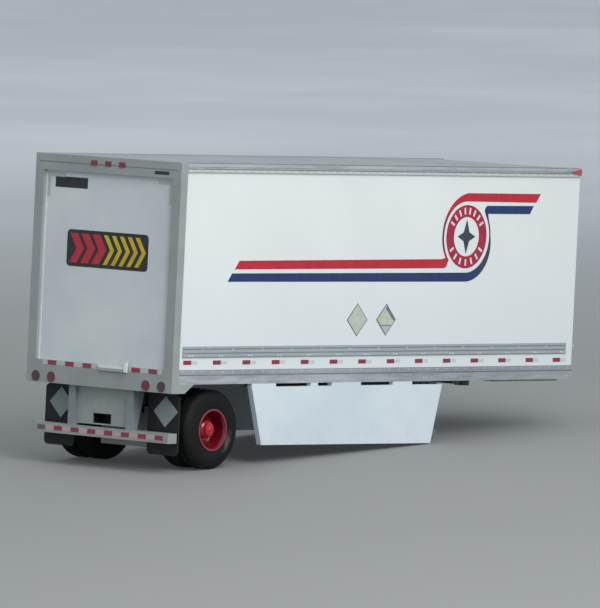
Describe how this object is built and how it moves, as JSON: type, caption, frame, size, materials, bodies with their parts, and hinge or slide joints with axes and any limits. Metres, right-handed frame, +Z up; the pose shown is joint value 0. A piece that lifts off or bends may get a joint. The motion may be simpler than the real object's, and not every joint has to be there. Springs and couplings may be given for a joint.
{
  "type": "model semi trailer",
  "caption": "Scale model of a short box semi trailer on a twin-wheel axle, parked nose-down on its landing feet, with side skirts, mud flaps and a rear underride guard.",
  "frame": {"origin": "bottom centre of the bounding box, on the floor under the tyres and landing feet", "axes": "+Y towards the front of the trailer, +X to its right (curb) side, +Z up. The trailer leans nose-down about X as it rests"},
  "size_m": [0.0408, 0.1364, 0.0651],
  "materials": {
    "white_body": "satin gloss",
    "grey_roof": "satin",
    "white_latch": "satin gloss",
    "grey_floor": "satin",
    "dark_frame": "satin",
    "grey_rail": "satin, printed",
    "grey_scuff": "satin, printed",
    "grey_rear": "satin, painted",
    "pale_post": "satin, painted",
    "red_lamp": "gloss",
    "dark_red_lamp": "gloss",
    "amber_lamp": "gloss",
    "white_skirt": "satin gloss",
    "dark_steel": "satin",
    "leg_grey": "satin",
    "steel_shaft": "plain",
    "black_tyre": "matt",
    "red_rim": "gloss",
    "black_flap": "matt",
    "grey_placard": "matt"
  },
  "bodies": {
    "trailer": {"side_wall_left": "white_body", "side_wall_right": "white_body", "front_wall": "white_body", "rear_door": "white_body", "roof_panel": "grey_roof", "door_latch": "white_latch", "floor_deck": "grey_floor", "floor_crossmembers": "dark_frame", "floor_stringers": "dark_frame", "landing_crossmember": "dark_frame", "landing_shaft": "dark_frame", "spring_set_left": "dark_frame", "spring_set_right": "dark_frame", "upper_coupler": "dark_frame", "rear_subframe": "dark_frame", "axle_carrier": "dark_frame", "top_rail_left": "grey_rail", "top_rail_right": "grey_rail", "bottom_rail_left": "grey_rail", "bottom_rail_right": "grey_rail", "scuff_band_left": "grey_scuff", "scuff_band_right": "grey_scuff", "rear_frame": "grey_rear", "underride_bar": "grey_rear", "hitch_housing": "grey_rear", "underride_post_left": "pale_post", "underride_post_right": "pale_post", "header_lamp_left": "red_lamp", "header_lamp_centre": "red_lamp", "header_lamp_right": "red_lamp", "tail_lamp_left_outer": "dark_red_lamp", "tail_lamp_left_inner": "dark_red_lamp", "tail_lamp_right_inner": "dark_red_lamp", "tail_lamp_right_outer": "dark_red_lamp", "marker_lamp_left": "amber_lamp", "marker_lamp_right": "amber_lamp", "side_skirt_left": "white_skirt", "side_skirt_right": "white_skirt", "kingpin": "dark_steel", "landing_leg_left": "leg_grey", "landing_leg_right": "leg_grey", "landing_foot_left": "leg_grey", "landing_foot_right": "leg_grey", "axle_shaft": "steel_shaft", "mud_flap_left": "black_flap", "mud_flap_right": "black_flap", "flap_placard_left": "grey_placard", "flap_placard_right": "grey_placard"},
    "wheels_left": {"tyre_left_outer": "black_tyre", "tyre_left_inner": "black_tyre", "rim_left_outer": "red_rim", "rim_left_inner": "red_rim"},
    "wheels_right": {"tyre_right_outer": "black_tyre", "tyre_right_inner": "black_tyre", "rim_right_outer": "red_rim", "rim_right_inner": "red_rim"}
  },
  "joints": [
    {"name": "wheels_left_spin", "type": "hinge", "parent": "trailer", "child": "wheels_left", "pos_m": [-0.0142, -0.05299, 0.00835], "axis": [1, 0, 0], "continuous": true},
    {"name": "wheels_right_spin", "type": "hinge", "parent": "trailer", "child": "wheels_right", "pos_m": [0.0142, -0.05299, 0.00835], "axis": [1, 0, 0], "continuous": true}
  ]
}
